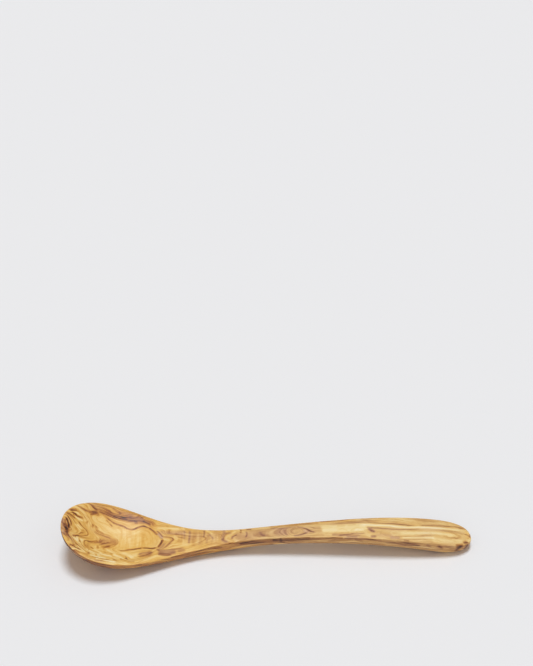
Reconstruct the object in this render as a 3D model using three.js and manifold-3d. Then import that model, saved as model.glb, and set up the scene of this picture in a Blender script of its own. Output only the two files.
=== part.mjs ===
// A cooking spoon carved from one piece of olive wood, lying on a table as it rests by itself.
// Millimetres, +Z up. X runs from the tip of the bowl to the end of the handle, and the origin is on the
// table under the middle of the spoon. The spoon is the same on both sides of the XZ plane.
// The grain runs unbroken from the bowl into the handle, so the whole spoon is one solid with no joints.

import * as THREE from "three";
import { LoftGeometry } from "three/addons/geometries/LoftGeometry.js";
import { mergeVertices } from "three/addons/utils/BufferGeometryUtils.js";
import Module from "manifold-3d";

// Plan sizes: the outline seen from above. A reach is how far a bend's curve runs along the outline.
const overallLength = 300;
const tipBendReach = 23.2;
const bowlWidth = 61;
const bowlWidestFromTip = 31.2;
const bowlReachToTip = 12;
const bowlReachToNeck = 28.9;
const neckWidth = 12.5;
const neckFromTip = 135.2;
const neckReachToBowl = 50.2;
const neckReachToGrip = 48;
const gripWidth = 25.9;
const gripWidestFromEnd = 25.3;
const gripReachToNeck = 39.4;
const gripReachToEnd = 11.5;
const endBendReach = 11.6;

// Upper line: the height of the rim, and of the handle's top edge, above the table.
const tipHeight = 29.8;
const tipSlopeRun = 31.4;
const tipSlopeDrop = 10.2;
const heelHeight = 10;
const heelFromTip = 86.7;
const heelReachToTip = 36.2;
const heelReachToCrest = 27.7;
const crestHeight = 18.7;
const crestFromEnd = 91.1;
const crestReachToHeel = 68.5;
const crestReachToEnd = 39.9;
const endHeight = 7.1;
const endSlopeRun = 17.4;
const endSlopeRise = 5.8;

// Keel: the lowest line of the underside, which meets the table under the bowl and near the handle's end.
const tipDepth = 17.2;
const tipKeelRun = 20;
const tipKeelDrop = 8.6;
const bowlRestFromTip = 68;
const bowlRestReachToTip = 22;
const bowlRestReachToArch = 70;
const handleThickness = 10;
const archFromEnd = 105.5;
const archReachToBowl = 68;
const archReachToEnd = 58;
const handleRestFromEnd = 20;
const handleRestReachToArch = 8;
const handleRestReachToEnd = 4;
const endKeelHeight = 1.2;
const endKeelRun = 3;
const endKeelDrop = 0.5;
const bowlRestFlatDepth = 0.6;
const handleRestFlatDepth = 0.35;

// Carving: the hollow of the bowl, the rounded edges and the section of the underside.
const floorThickness = 6.2;
const lipWidth = 2.6;
const hollowFullFromTip = 40;
const hollowEndFromTip = 80;
const hollowFullness = 1.2;
const rimRadius = 0.6;
const edgeRadius = 0.8;
const edgeBlendFromTip = 105;
const crownHeight = 0.5;
const crownFullFromTip = 120;
const tipFanRadius = 31;
const endFanRadius = 12;
const fanSoftness = 0.3;
const edgeShareOfRay = 0.45;
const bowlSquareness = 2;
const handleSquareness = 3;
const handleSectionFromTip = 150;

// Facets: sections along each stretch of the outline, and points across half a section.
const sectionsTip = 14;
const sectionsShoulder = 20;
const sectionsShaft = 20;
const sectionsEnd = 10;
const topSteps = 7;
const edgeSteps = 3;
const undersideSteps = 9;
const heightHalvings = 40;

// The block that stands for the table, cut away to leave the two flats that the spoon rests on.
const tableMargin = 10;
const tableThickness = 20;

const tipX = -overallLength / 2;
const endX = overallLength / 2;

// Smooth step from 0 at low to 1 at high, level at both ends.
function fade(low, high, x) {
  return THREE.MathUtils.smootherstep(x, low, high);
}

// One curve between two knots. A knot has a place, and the reach of its bend on either side.
function curveBetween(from, to) {
  return new THREE.CubicBezierCurve(
    from.at,
    from.at.clone().add(from.leave),
    to.at.clone().sub(to.arrive),
    to.at,
  );
}

function lineThrough(knots) {
  return knots.slice(1).map((knot, index) => curveBetween(knots[index], knot));
}

function knot(x, y, arrive, leave) {
  return { at: new THREE.Vector2(x, y), arrive, leave };
}

// A bend that lies level at its knot, as at a widest, narrowest, highest or lowest place.
function levelKnot(x, y, reachBefore, reachAfter) {
  return knot(x, y, new THREE.Vector2(reachBefore, 0), new THREE.Vector2(reachAfter, 0));
}

// The height of a line at x, found by halving the stretch of the curve that holds it.
function heightAt(line, x) {
  const curve = line.find((piece) => x <= piece.v3.x) ?? line.at(-1);
  let low = 0;
  let high = 1;
  for (let halving = 0; halving < heightHalvings; halving += 1) {
    const middle = (low + high) / 2;
    if (curve.getPoint(middle).x < x) low = middle;
    else high = middle;
  }
  return curve.getPoint(low).y;
}

// Half of the outline, from the tip of the bowl to the end of the handle.
const outline = lineThrough([
  knot(tipX, 0, null, new THREE.Vector2(0, tipBendReach)),
  levelKnot(tipX + bowlWidestFromTip, bowlWidth / 2, bowlReachToTip, bowlReachToNeck),
  levelKnot(tipX + neckFromTip, neckWidth / 2, neckReachToBowl, neckReachToGrip),
  levelKnot(endX - gripWidestFromEnd, gripWidth / 2, gripReachToNeck, gripReachToEnd),
  knot(endX, 0, new THREE.Vector2(0, -endBendReach), null),
]);

const upperLine = lineThrough([
  knot(tipX, tipHeight, null, new THREE.Vector2(tipSlopeRun, -tipSlopeDrop)),
  levelKnot(tipX + heelFromTip, heelHeight, heelReachToTip, heelReachToCrest),
  levelKnot(endX - crestFromEnd, crestHeight, crestReachToHeel, crestReachToEnd),
  knot(endX, endHeight, new THREE.Vector2(endSlopeRun, -endSlopeRise), null),
]);

const keel = lineThrough([
  knot(tipX, tipHeight - tipDepth, null, new THREE.Vector2(tipKeelRun, -tipKeelDrop)),
  levelKnot(tipX + bowlRestFromTip, -bowlRestFlatDepth, bowlRestReachToTip, bowlRestReachToArch),
  levelKnot(endX - archFromEnd, crestHeight - handleThickness, archReachToBowl, archReachToEnd),
  levelKnot(
    endX - handleRestFromEnd,
    -handleRestFlatDepth,
    handleRestReachToArch,
    handleRestReachToEnd,
  ),
  knot(endX, endKeelHeight, new THREE.Vector2(endKeelRun, endKeelDrop), null),
]);

// The place on the spine that a section fans out from. Along the spoon it is straight across from the
// outline, and at the two round ends it gathers towards one centre, so that the rim is even all round.
function spineAcrossFrom(x) {
  const tipCentre = tipX + tipFanRadius;
  const endCentre = endX - endFanRadius;
  const fromTip = x - tipCentre;
  const pastTip = tipCentre + (fromTip + Math.hypot(fromTip, tipFanRadius * fanSoftness)) / 2;
  const fromEnd = endCentre - pastTip;
  return endCentre - (fromEnd + Math.hypot(fromEnd, endFanRadius * fanSoftness)) / 2;
}

// Half of a section: from the spine over the top to the edge, round it, and back along the underside.
function halfSection(edge) {
  const spine = spineAcrossFrom(edge.x);
  const ray = new THREE.Vector2(edge.x - spine, edge.y);
  const rayLength = ray.length();
  const fromTip = spine - tipX;
  const edgeFromTip = edge.x - tipX;

  const hollow = 1 - fade(hollowFullFromTip, hollowEndFromTip, fromTip);
  const clearDepth = heightAt(upperLine, spine) - heightAt(keel, spine) - floorThickness;
  const hollowDepth = Math.max(0, clearDepth) * hollow;
  const crown = crownHeight * fade(hollowFullFromTip, crownFullFromTip, fromTip);
  const handleShare = fade(hollowFullFromTip, handleSectionFromTip, fromTip);
  const squareness = THREE.MathUtils.lerp(bowlSquareness, handleSquareness, handleShare);
  const edgeShare = fade(hollowFullFromTip, edgeBlendFromTip, edgeFromTip);
  const wantedRadius = THREE.MathUtils.lerp(rimRadius, edgeRadius, edgeShare);
  const radius = Math.min(wantedRadius, edgeShareOfRay * rayLength);
  const edgeStart = 1 - radius / rayLength;
  const lipStart = Math.min(edgeStart, 1 - lipWidth / rayLength);

  const place = (share, height) =>
    new THREE.Vector3(spine + share * ray.x, share * ray.y, height);
  const topHeight = (share) => {
    const inHollow = Math.min(1, share / Math.max(lipStart, edgeShareOfRay));
    return (
      heightAt(upperLine, spine + share * ray.x) +
      crown * (1 - share ** 2) -
      hollowDepth * (1 - inHollow ** 2) ** hollowFullness
    );
  };

  const points = [];
  for (let step = 0; step <= topSteps; step += 1) {
    const share = (edgeStart * step) / topSteps;
    points.push(place(share, topHeight(share)));
  }
  const edgeHeight = topHeight(edgeStart) - radius;
  for (let step = 1; step <= edgeSteps; step += 1) {
    const turn = (Math.PI / 2) * (step / edgeSteps);
    const share = edgeStart + (1 - edgeStart) * Math.sin(turn);
    points.push(place(share, edgeHeight + radius * Math.cos(turn)));
  }
  const wallHeight = edgeHeight - heightAt(keel, edge.x);
  for (let step = 1; step <= undersideSteps; step += 1) {
    const turn = (Math.PI / 2) * (step / undersideSteps);
    const share = step < undersideSteps ? Math.cos(turn) ** (2 / squareness) : 0;
    const lift = 1 - Math.sin(turn) ** (2 / squareness);
    points.push(place(share, heightAt(keel, spine + share * ray.x) + wallHeight * lift));
  }
  return points;
}

// A whole section: the near half, which mirrors the far one, then the far half back up to the spine.
function wholeSection(edge) {
  const far = halfSection(edge);
  const near = far.map((point) => new THREE.Vector3(point.x, -point.y, point.z));
  return [...near, ...far.slice(1, -1).reverse()];
}

// The places along the outline that the sections pass through.
function sectionEdges() {
  const counts = [sectionsTip, sectionsShoulder, sectionsShaft, sectionsEnd];
  const edges = [outline[0].getPoint(0)];
  outline.forEach((curve, index) => {
    for (let step = 1; step <= counts[index]; step += 1) {
      edges.push(curve.getPoint(step / counts[index]));
    }
  });
  return edges;
}

const wasm = await Module();
wasm.setup();

function solidFrom(geometry) {
  const bare = new THREE.BufferGeometry().copy(geometry);
  bare.deleteAttribute("normal");
  bare.deleteAttribute("uv");
  const merged = mergeVertices(bare);
  return new wasm.Manifold(
    new wasm.Mesh({
      numProp: 3,
      vertProperties: new Float32Array(merged.attributes.position.array),
      triVerts: new Uint32Array(merged.index.array),
    }),
  );
}

function geometryFrom(solid) {
  const mesh = solid.getMesh();
  const geometry = new THREE.BufferGeometry();
  geometry.setAttribute("position", new THREE.BufferAttribute(mesh.vertProperties, 3));
  geometry.setIndex(new THREE.BufferAttribute(mesh.triVerts, 1));
  geometry.computeVertexNormals();
  return geometry;
}

// The carved blank, before its two resting places are sanded flat.
function carvedBlank() {
  return solidFrom(new LoftGeometry(sectionEdges().map(wholeSection)));
}

function table() {
  const length = overallLength + 2 * tableMargin;
  const width = bowlWidth + 2 * tableMargin;
  const block = new THREE.BoxGeometry(length, width, tableThickness);
  return solidFrom(block.translate(0, 0, -tableThickness / 2));
}

const oliveWood = new THREE.MeshStandardMaterial({
  color: 0xcf9f5a,
  roughness: 0.55,
  metalness: 0,
});

const carvedSpoon = new THREE.Mesh(geometryFrom(carvedBlank().subtract(table())), oliveWood);
carvedSpoon.name = "carved_spoon";

const spoon = new THREE.Group();
spoon.add(carvedSpoon);

export default spoon;
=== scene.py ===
import math
from functools import partial

import bpy
import numpy as np
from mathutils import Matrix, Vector


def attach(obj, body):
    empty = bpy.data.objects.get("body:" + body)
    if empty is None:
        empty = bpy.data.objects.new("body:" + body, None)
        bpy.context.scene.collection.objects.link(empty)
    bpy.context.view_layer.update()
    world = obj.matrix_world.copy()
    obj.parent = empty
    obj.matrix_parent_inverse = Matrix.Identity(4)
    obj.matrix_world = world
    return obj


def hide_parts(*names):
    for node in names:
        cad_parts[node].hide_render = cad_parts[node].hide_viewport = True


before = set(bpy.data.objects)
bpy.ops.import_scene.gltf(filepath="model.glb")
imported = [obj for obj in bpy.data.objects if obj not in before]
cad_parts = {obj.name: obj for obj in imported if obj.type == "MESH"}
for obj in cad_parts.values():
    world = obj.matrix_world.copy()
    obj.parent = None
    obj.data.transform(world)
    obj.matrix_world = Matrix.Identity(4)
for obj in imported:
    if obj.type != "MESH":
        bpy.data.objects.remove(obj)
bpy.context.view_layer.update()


def mm(value):
    return value / 1000.0


def colour(code):  # sRGB hex to linear
    parts = [int(code[i:i + 2], 16) / 255 for i in (1, 3, 5)]
    linear = [c / 12.92 if c <= 0.04045 else ((c + 0.055) / 1.055) ** 2.4 for c in parts]
    return (*linear, 1.0)


def addNode(tree, kind, inputs=(), **settings):
    node = tree.nodes.new(kind)
    for name, value in settings.items():
        setattr(node, name, value)
    sockets = [socket for socket in node.inputs if socket.enabled]
    pairs = inputs.items() if isinstance(inputs, dict) else enumerate(inputs)
    for key, value in pairs:
        socket = sockets[key] if isinstance(key, int) else next(s for s in sockets if s.name == key)
        if isinstance(value, bpy.types.Node):
            value = next(output for output in value.outputs if output.enabled)
        if isinstance(value, bpy.types.NodeSocket):
            tree.links.new(value, socket)
        else:
            socket.default_value = value
    return node


# The three lines that the spoon is drawn with, millimetres, tip at -150 and handle end at 150.
# Each knot is place, height or half-width, then the reach of its bend before and after as (along, up).
spoonLines = {
    "outline": [
        (-150, 0, None, (0, 23.2)),
        (-118.8, 30.5, (12, 0), (28.9, 0)),  # widest part of the bowl
        (-14.8, 6.25, (50.2, 0), (48, 0)),  # neck
        (124.7, 12.95, (39.4, 0), (11.5, 0)),  # widest part of the grip
        (150, 0, (0, -11.6), None),
    ],
    "rim": [
        (-150, 29.8, None, (31.4, -10.2)),
        (-63.3, 10.0, (36.2, 0), (27.7, 0)),  # heel of the bowl
        (58.9, 18.7, (68.5, 0), (39.9, 0)),  # crest of the handle
        (150, 7.1, (17.4, -5.8), None),
    ],
    "keel": [
        (-150, 12.6, None, (20, -8.6)),
        (-82, -0.6, (22, 0), (70, 0)),  # rests on the table under the bowl
        (44.5, 8.7, (68, 0), (58, 0)),  # arch under the handle
        (130, -0.35, (8, 0), (4, 0)),  # rests on the table near the end
        (150, 1.2, (3, 0.5), None),
    ],
}

spoonSizes = {  # millimetres
    "Floor Thickness": 6.2,
    "Lip Width": 2.6,
    "Hollow Full": -110.0,  # the hollow is at full depth up to here
    "Hollow End": -70.0,
    "Rim Radius": 0.6,
    "Edge Radius": 0.8,
    "Edge Blend": -45.0,
    "Crown": 0.5,
    "Crown Full": -30.0,
    "Tip Centre": -119.0,  # sections fan out round this point at the tip
    "End Centre": 138.0,
    "Tip Ease": 28.0,
    "End Ease": 11.0,
    "Handle Section": 0.0,
}

spoonShares = {
    "Hollow Fullness": 1.2,
    "Bowl Squareness": 2.0,
    "Handle Squareness": 3.0,
    "Top Share": 0.64,  # of the places round half a section
    "Edge Share": 0.72,
}

spoonCounts = {"Sections": 560, "Places": 177}

lineDrawing = {
    "steps": 48,  # between two knots
    "overrun": 3.0,  # millimetres that the rim and the keel go on past both ends
}


def drawLine(name, knots, upright):
    data = bpy.data.curves.new(name, "CURVE")
    data.dimensions = "3D"
    data.resolution_u = lineDrawing["steps"]
    points = [list(knot) for knot in knots]
    if upright:  # goes on straight past both ends
        overrun = lineDrawing["overrun"]
        first, last = points[0], points[-1]
        slopeIn = first[3][1] / first[3][0]
        slopeOut = last[2][1] / last[2][0]
        step = overrun / 3
        first[2] = (step, step * slopeIn)
        last[3] = (step, step * slopeOut)
        before = (first[0] - overrun, first[1] - overrun * slopeIn, None, (step, step * slopeIn))
        after = (last[0] + overrun, last[1] + overrun * slopeOut, (step, step * slopeOut), None)
        points = [before, *points, after]
    spline = data.splines.new("BEZIER")
    spline.bezier_points.add(len(points) - 1)
    for knot, (along, across, before, after) in zip(spline.bezier_points, points):
        before = before or (0, 0)
        after = after or (0, 0)
        flat = [(along, across), (along - before[0], across - before[1]),
                (along + after[0], across + after[1])]
        placed = [Vector((mm(x), 0, mm(y)) if upright else (mm(x), mm(y), 0)) for x, y in flat]
        knot.handle_left_type = knot.handle_right_type = "FREE"
        knot.co, knot.handle_left, knot.handle_right = placed
    drawn = bpy.data.objects.new(name, data)
    bpy.context.collection.objects.link(drawn)
    return drawn


def spoonTree(wood):
    tree = bpy.data.node_groups.new("carvedSpoon", "GeometryNodeTree")
    tree.interface.new_socket(name="Geometry", in_out="OUTPUT", socket_type="NodeSocketGeometry")
    kinds = {name: "NodeSocketObject" for name in spoonLines}
    kinds.update({name: "NodeSocketFloat" for name in [*spoonSizes, *spoonShares]})
    kinds.update({name: "NodeSocketInt" for name in spoonCounts})
    for name, kind in kinds.items():
        tree.interface.new_socket(name=name, in_out="INPUT", socket_type=kind)
    add = partial(addNode, tree)
    size = add("NodeGroupInput").outputs

    # A flat sheet of points: X counts the sections, Y goes round each one
    sheet = add("GeometryNodeMeshGrid", {"Size X": 1.0, "Size Y": 1.0, "Vertices X": size["Sections"],
                                         "Vertices Y": size["Places"]})
    place = add("ShaderNodeSeparateXYZ", (add("GeometryNodeInputPosition"),)).outputs
    along = add("ShaderNodeMath", (place["X"], 0.5), operation="ADD")
    side = add("ShaderNodeMath", (place["Y"],), operation="SIGN")
    away = add("ShaderNodeMath", (place["Y"],), operation="ABSOLUTE")
    half = add("ShaderNodeMath", (away, -2.0, 1.0), operation="MULTIPLY_ADD")  # 0 on top, 1 underneath

    # The drawn lines: the outline is sampled, the rim and the keel become sheets to measure heights on
    outline = add("GeometryNodeObjectInfo", {"Object": size["outline"]}).outputs["Geometry"]
    sample = add("GeometryNodeSampleCurve", {"Curves": outline, "Factor": along}, mode="FACTOR")
    edge = add("ShaderNodeSeparateXYZ", (sample.outputs["Position"],)).outputs
    sheets = {}
    sheetWidth = mm(100)
    for name in ("rim", "keel"):
        line = add("GeometryNodeObjectInfo", {"Object": size[name]}).outputs["Geometry"]
        wire = add("GeometryNodeCurveToMesh", {"Curve": line})
        across = add("ShaderNodeCombineXYZ", {"Y": sheetWidth})
        pulled = add("GeometryNodeExtrudeMesh", {"Mesh": wire, "Offset": across}, mode="EDGES")
        sheets[name] = add("GeometryNodeSetPosition", {"Geometry": pulled, "Offset": (0, -sheetWidth / 2, 0)})

    # Each section fans out from the spine: straight across, but round a centre at the two ends
    pastTip = add("ShaderNodeMath", (edge["X"], size["Tip Centre"], size["Tip Ease"]), operation="SMOOTH_MAX")
    spine = add("ShaderNodeMath", (pastTip, size["End Centre"], size["End Ease"]), operation="SMOOTH_MIN")
    rayX = add("ShaderNodeMath", (edge["X"], spine), operation="SUBTRACT")
    ray = add("ShaderNodeCombineXYZ", {"X": rayX, "Y": edge["Y"]})
    reach = add("ShaderNodeVectorMath", (ray,), operation="LENGTH").outputs["Value"]

    # The rounded edge, thin round the bowl and fuller along the handle, and the lip inside it
    nearSpine = 0.45  # no edge is wider than this share of the reach, and no lip starts nearer the spine
    wanted = add("ShaderNodeMapRange", (edge["X"], size["Hollow Full"], size["Edge Blend"],
                                        size["Rim Radius"], size["Edge Radius"]),
                 interpolation_type="SMOOTHERSTEP")
    most = add("ShaderNodeMath", (reach, nearSpine), operation="MULTIPLY")
    radius = add("ShaderNodeMath", (wanted, most), operation="MINIMUM")
    radiusShare = add("ShaderNodeMath", (radius, reach), operation="DIVIDE")
    edgeStart = add("ShaderNodeMath", (1.0, radiusShare), operation="SUBTRACT")
    lipShare = add("ShaderNodeMath", (size["Lip Width"], reach), operation="DIVIDE")
    lipInner = add("ShaderNodeMath", (1.0, lipShare), operation="SUBTRACT")
    lipClear = add("ShaderNodeMath", (lipInner, edgeStart), operation="MINIMUM")
    lipStart = add("ShaderNodeMath", (lipClear, nearSpine), operation="MAXIMUM")

    # Where each point lies: over the top, round the edge, or along the underside
    quarter = math.pi / 2
    overTop = add("ShaderNodeMapRange", (half, 0.0, size["Top Share"], 0.0, 1.0))
    roundEdge = add("ShaderNodeMapRange", (half, size["Top Share"], size["Edge Share"], 0.0, quarter))
    alongUnder = add("ShaderNodeMapRange", (half, size["Edge Share"], 1.0, 0.0, quarter))
    isUnder = add("ShaderNodeMath", (half, size["Edge Share"]), operation="GREATER_THAN")
    topShare = add("ShaderNodeMath", (overTop, edgeStart), operation="MULTIPLY")
    edgeSine = add("ShaderNodeMath", (roundEdge,), operation="SINE")
    overShare = add("ShaderNodeMath", (edgeSine, radiusShare, topShare), operation="MULTIPLY_ADD")
    squareness = add("ShaderNodeMapRange", (spine, size["Hollow Full"], size["Handle Section"],
                                            size["Bowl Squareness"], size["Handle Squareness"]),
                     interpolation_type="SMOOTHERSTEP")
    power = add("ShaderNodeMath", (2.0, squareness), operation="DIVIDE")
    underCosine = add("ShaderNodeMath", (alongUnder,), operation="COSINE")
    underFlat = add("ShaderNodeMath", (underCosine, 0.0), operation="MAXIMUM")
    underShare = add("ShaderNodeMath", (underFlat, power), operation="POWER")
    share = add("ShaderNodeMix", {"Factor": isUnder, "A": overShare, "B": underShare}, data_type="FLOAT")
    x = add("ShaderNodeMath", (share, rayX, spine), operation="MULTIPLY_ADD")
    width = add("ShaderNodeMath", (share, edge["Y"]), operation="MULTIPLY")
    y = add("ShaderNodeMath", (width, side), operation="MULTIPLY")

    # Heights of the rim and keel sheets at the places that the section needs
    topX = add("ShaderNodeMath", (topShare, rayX, spine), operation="MULTIPLY_ADD")
    startX = add("ShaderNodeMath", (edgeStart, rayX, spine), operation="MULTIPLY_ADD")
    wantedHeights = {"rimSpine": ("rim", spine), "rimTop": ("rim", topX), "rimStart": ("rim", startX),
                     "keelSpine": ("keel", spine), "keelHere": ("keel", x), "keelEdge": ("keel", edge["X"])}
    height = {}
    farAbove = mm(1000)
    for name, (sheetName, where) in wantedHeights.items():
        above = add("ShaderNodeCombineXYZ", {"X": where, "Z": farAbove})
        hit = add("GeometryNodeRaycast", {"Target Geometry": sheets[sheetName], "Source Position": above,
                                          "Ray Direction": (0, 0, -1), "Ray Length": 2 * farAbove})
        height[name] = add("ShaderNodeSeparateXYZ", (hit.outputs["Hit Position"],)).outputs["Z"]

    # The hollow leaves an even floor, and fades out towards the neck
    body = add("ShaderNodeMath", (height["rimSpine"], height["keelSpine"]), operation="SUBTRACT")
    spare = add("ShaderNodeMath", (body, size["Floor Thickness"]), operation="SUBTRACT")
    clear = add("ShaderNodeMath", (spare, 0.0), operation="MAXIMUM")
    fading = add("ShaderNodeMapRange", (spine, size["Hollow Full"], size["Hollow End"], 1.0, 0.0),
                 interpolation_type="SMOOTHERSTEP")
    depth = add("ShaderNodeMath", (clear, fading), operation="MULTIPLY")
    inward = add("ShaderNodeMath", (topShare, lipStart), operation="DIVIDE")
    inHollow = add("ShaderNodeMath", (inward, 1.0), operation="MINIMUM")
    fallen = add("ShaderNodeMath", (inHollow, inHollow), operation="MULTIPLY")
    risen = add("ShaderNodeMath", (1.0, fallen), operation="SUBTRACT")
    scoop = add("ShaderNodeMath", (risen, size["Hollow Fullness"]), operation="POWER")
    scooped = add("ShaderNodeMath", (scoop, depth), operation="MULTIPLY")
    crown = add("ShaderNodeMapRange", (spine, size["Hollow Full"], size["Crown Full"], 0.0, size["Crown"]),
                interpolation_type="SMOOTHERSTEP")
    crownFall = add("ShaderNodeMath", (topShare, topShare), operation="MULTIPLY")
    crownRise = add("ShaderNodeMath", (1.0, crownFall), operation="SUBTRACT")
    crowned = add("ShaderNodeMath", (crownRise, crown, height["rimTop"]), operation="MULTIPLY_ADD")
    top = add("ShaderNodeMath", (crowned, scooped), operation="SUBTRACT")
    edgeCosine = add("ShaderNodeMath", (roundEdge,), operation="COSINE")
    edgeDrop = add("ShaderNodeMath", (1.0, edgeCosine), operation="SUBTRACT")
    edgeFall = add("ShaderNodeMath", (edgeDrop, radius), operation="MULTIPLY")
    over = add("ShaderNodeMath", (top, edgeFall), operation="SUBTRACT")

    # The underside swells from the keel up to the edge
    wall = add("ShaderNodeMath", (height["rimStart"], radius), operation="SUBTRACT")
    wallHeight = add("ShaderNodeMath", (wall, height["keelEdge"]), operation="SUBTRACT")
    underSine = add("ShaderNodeMath", (alongUnder,), operation="SINE")
    underRound = add("ShaderNodeMath", (underSine, power), operation="POWER")
    lift = add("ShaderNodeMath", (1.0, underRound), operation="SUBTRACT")
    under = add("ShaderNodeMath", (lift, wallHeight, height["keelHere"]), operation="MULTIPLY_ADD")
    carved = add("ShaderNodeMix", {"Factor": isUnder, "A": over, "B": under}, data_type="FLOAT")
    z = add("ShaderNodeMath", (carved, 0.0), operation="MAXIMUM")  # sanded flat where it rests
    underFall = add("ShaderNodeMath", (height["rimStart"], z), operation="SUBTRACT")
    fall = add("ShaderNodeMix", {"Factor": isUnder, "A": edgeFall, "B": underFall}, data_type="FLOAT")

    kept = add("GeometryNodeStoreNamedAttribute", {"Geometry": sheet, "Name": "fall", "Value": fall},
               data_type="FLOAT", domain="POINT")
    loft = add("GeometryNodeSetPosition", {"Geometry": kept,
                                           "Position": add("ShaderNodeCombineXYZ", (x, y, z))})
    seam = mm(0.01)  # points closer than this are one
    closed = add("GeometryNodeMergeByDistance", {"Geometry": loft, "Distance": seam})
    outwards = add("GeometryNodeFlipFaces", {"Mesh": closed})
    smooth = add("GeometryNodeSetShadeSmooth", {"Geometry": outwards})
    whole = add("GeometryNodeRealizeInstances", {"Geometry": smooth})
    finished = add("GeometryNodeSetMaterial", {"Geometry": whole, "Material": wood})
    add("NodeGroupOutput", {"Geometry": finished})
    return tree


def carveSpoon(wood):
    drawn = {name: drawLine(name, knots, upright=name != "outline") for name, knots in spoonLines.items()}
    spoon = bpy.data.objects.new("carvedSpoon", bpy.data.meshes.new("carvedSpoon"))
    bpy.context.collection.objects.link(spoon)
    carving = spoon.modifiers.new("carving", "NODES")
    carving.node_group = spoonTree(wood)
    sizes = {name: mm(value) for name, value in spoonSizes.items()}
    values = {**drawn, **sizes, **spoonShares, **spoonCounts}
    for item in carving.node_group.interface.items_tree:
        if item.in_out == "INPUT":
            carving[item.identifier] = values[item.name]
    evaluated = spoon.evaluated_get(bpy.context.evaluated_depsgraph_get())
    mesh = bpy.data.meshes.new_from_object(evaluated)
    spoon.modifiers.clear()
    spoon.data = mesh
    for line in drawn.values():
        bpy.data.objects.remove(line)
    print("spoon carved,", len(mesh.vertices), "points,", len(mesh.polygons), "faces")
    return spoon


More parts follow.
